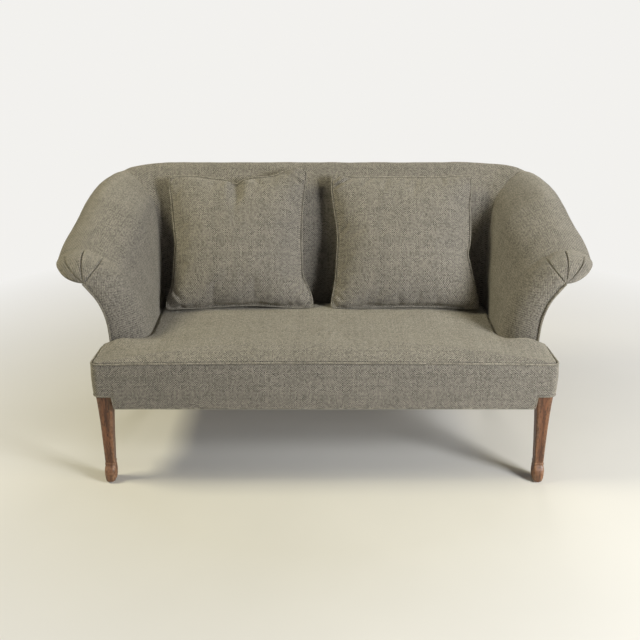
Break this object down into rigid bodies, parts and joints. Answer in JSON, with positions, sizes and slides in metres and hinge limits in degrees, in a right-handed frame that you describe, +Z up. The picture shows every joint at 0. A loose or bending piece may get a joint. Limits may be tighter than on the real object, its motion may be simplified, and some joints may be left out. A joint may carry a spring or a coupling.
{
  "type": "rolled arm sofa",
  "caption": "Two-seat upholstered settee with a tub back, flared rolled arms with pleated fronts, a tight crowned seat, walnut legs with scroll feet and loose pillows.",
  "frame": {"origin": "centre of the footprint on the floor", "axes": "+X to the right seen from the front, +Y to the back, +Z up"},
  "size_m": [1.698, 0.79, 0.88],
  "materials": {
    "tweed": "grey-olive woven tweed",
    "welt_tweed": "self welt in the same tweed",
    "walnut": "dark stained, satin, worn at the edges",
    "beech": "raw frame timber",
    "hessian": "plain jute weave",
    "black_cloth": "thin non-woven dust cloth",
    "spring_steel": "bright drawn wire",
    "nylon": "moulded"
  },
  "bodies": {
    "sofa": {"seat_pad": "tweed", "front_border": "tweed", "back_pad": "tweed", "outside_back_panel": "tweed", "left_arm_pad": "tweed", "left_arm_front_pad": "tweed", "left_outside_arm_panel": "tweed", "right_arm_pad": "tweed", "right_arm_front_pad": "tweed", "right_outside_arm_panel": "tweed", "seat_top_welt": "welt_tweed", "seat_bottom_welt": "welt_tweed", "left_arm_welt": "welt_tweed", "right_arm_welt": "welt_tweed", "left_front_leg": "walnut", "left_rear_leg": "walnut", "right_front_leg": "walnut", "right_rear_leg": "walnut", "front_seat_rail": "beech", "back_seat_rail": "beech", "seat_stretcher": "beech", "crest_rail": "beech", "center_back_post": "beech", "left_side_rail": "beech", "left_front_corner_block": "beech", "left_rear_corner_block": "beech", "left_arm_rail": "beech", "left_arm_stump": "beech", "left_rear_arm_post": "beech", "left_back_post": "beech", "right_side_rail": "beech", "right_front_corner_block": "beech", "right_rear_corner_block": "beech", "right_arm_rail": "beech", "right_arm_stump": "beech", "right_rear_arm_post": "beech", "right_back_post": "beech", "seat_hessian": "hessian", "back_hessian": "hessian", "left_arm_hessian": "hessian", "right_arm_hessian": "hessian", "dust_cover": "black_cloth", "seat_spring_1": "spring_steel", "seat_spring_2": "spring_steel", "seat_spring_3": "spring_steel", "seat_spring_4": "spring_steel", "seat_spring_5": "spring_steel", "seat_spring_6": "spring_steel", "left_front_glide": "nylon", "left_rear_glide": "nylon", "right_front_glide": "nylon", "right_rear_glide": "nylon"},
    "left_pillow": {"left_pillow": "tweed", "left_pillow_piping": "welt_tweed"},
    "right_pillow": {"right_pillow": "tweed", "right_pillow_piping": "welt_tweed"}
  },
  "joints": [
    {"name": "left_pillow_lift", "type": "slide", "parent": "sofa", "child": "left_pillow", "axis": [0, 0, 1], "range_m": [0, 0.45]},
    {"name": "right_pillow_lift", "type": "slide", "parent": "sofa", "child": "right_pillow", "axis": [0, 0, 1], "range_m": [0, 0.45]}
  ]
}
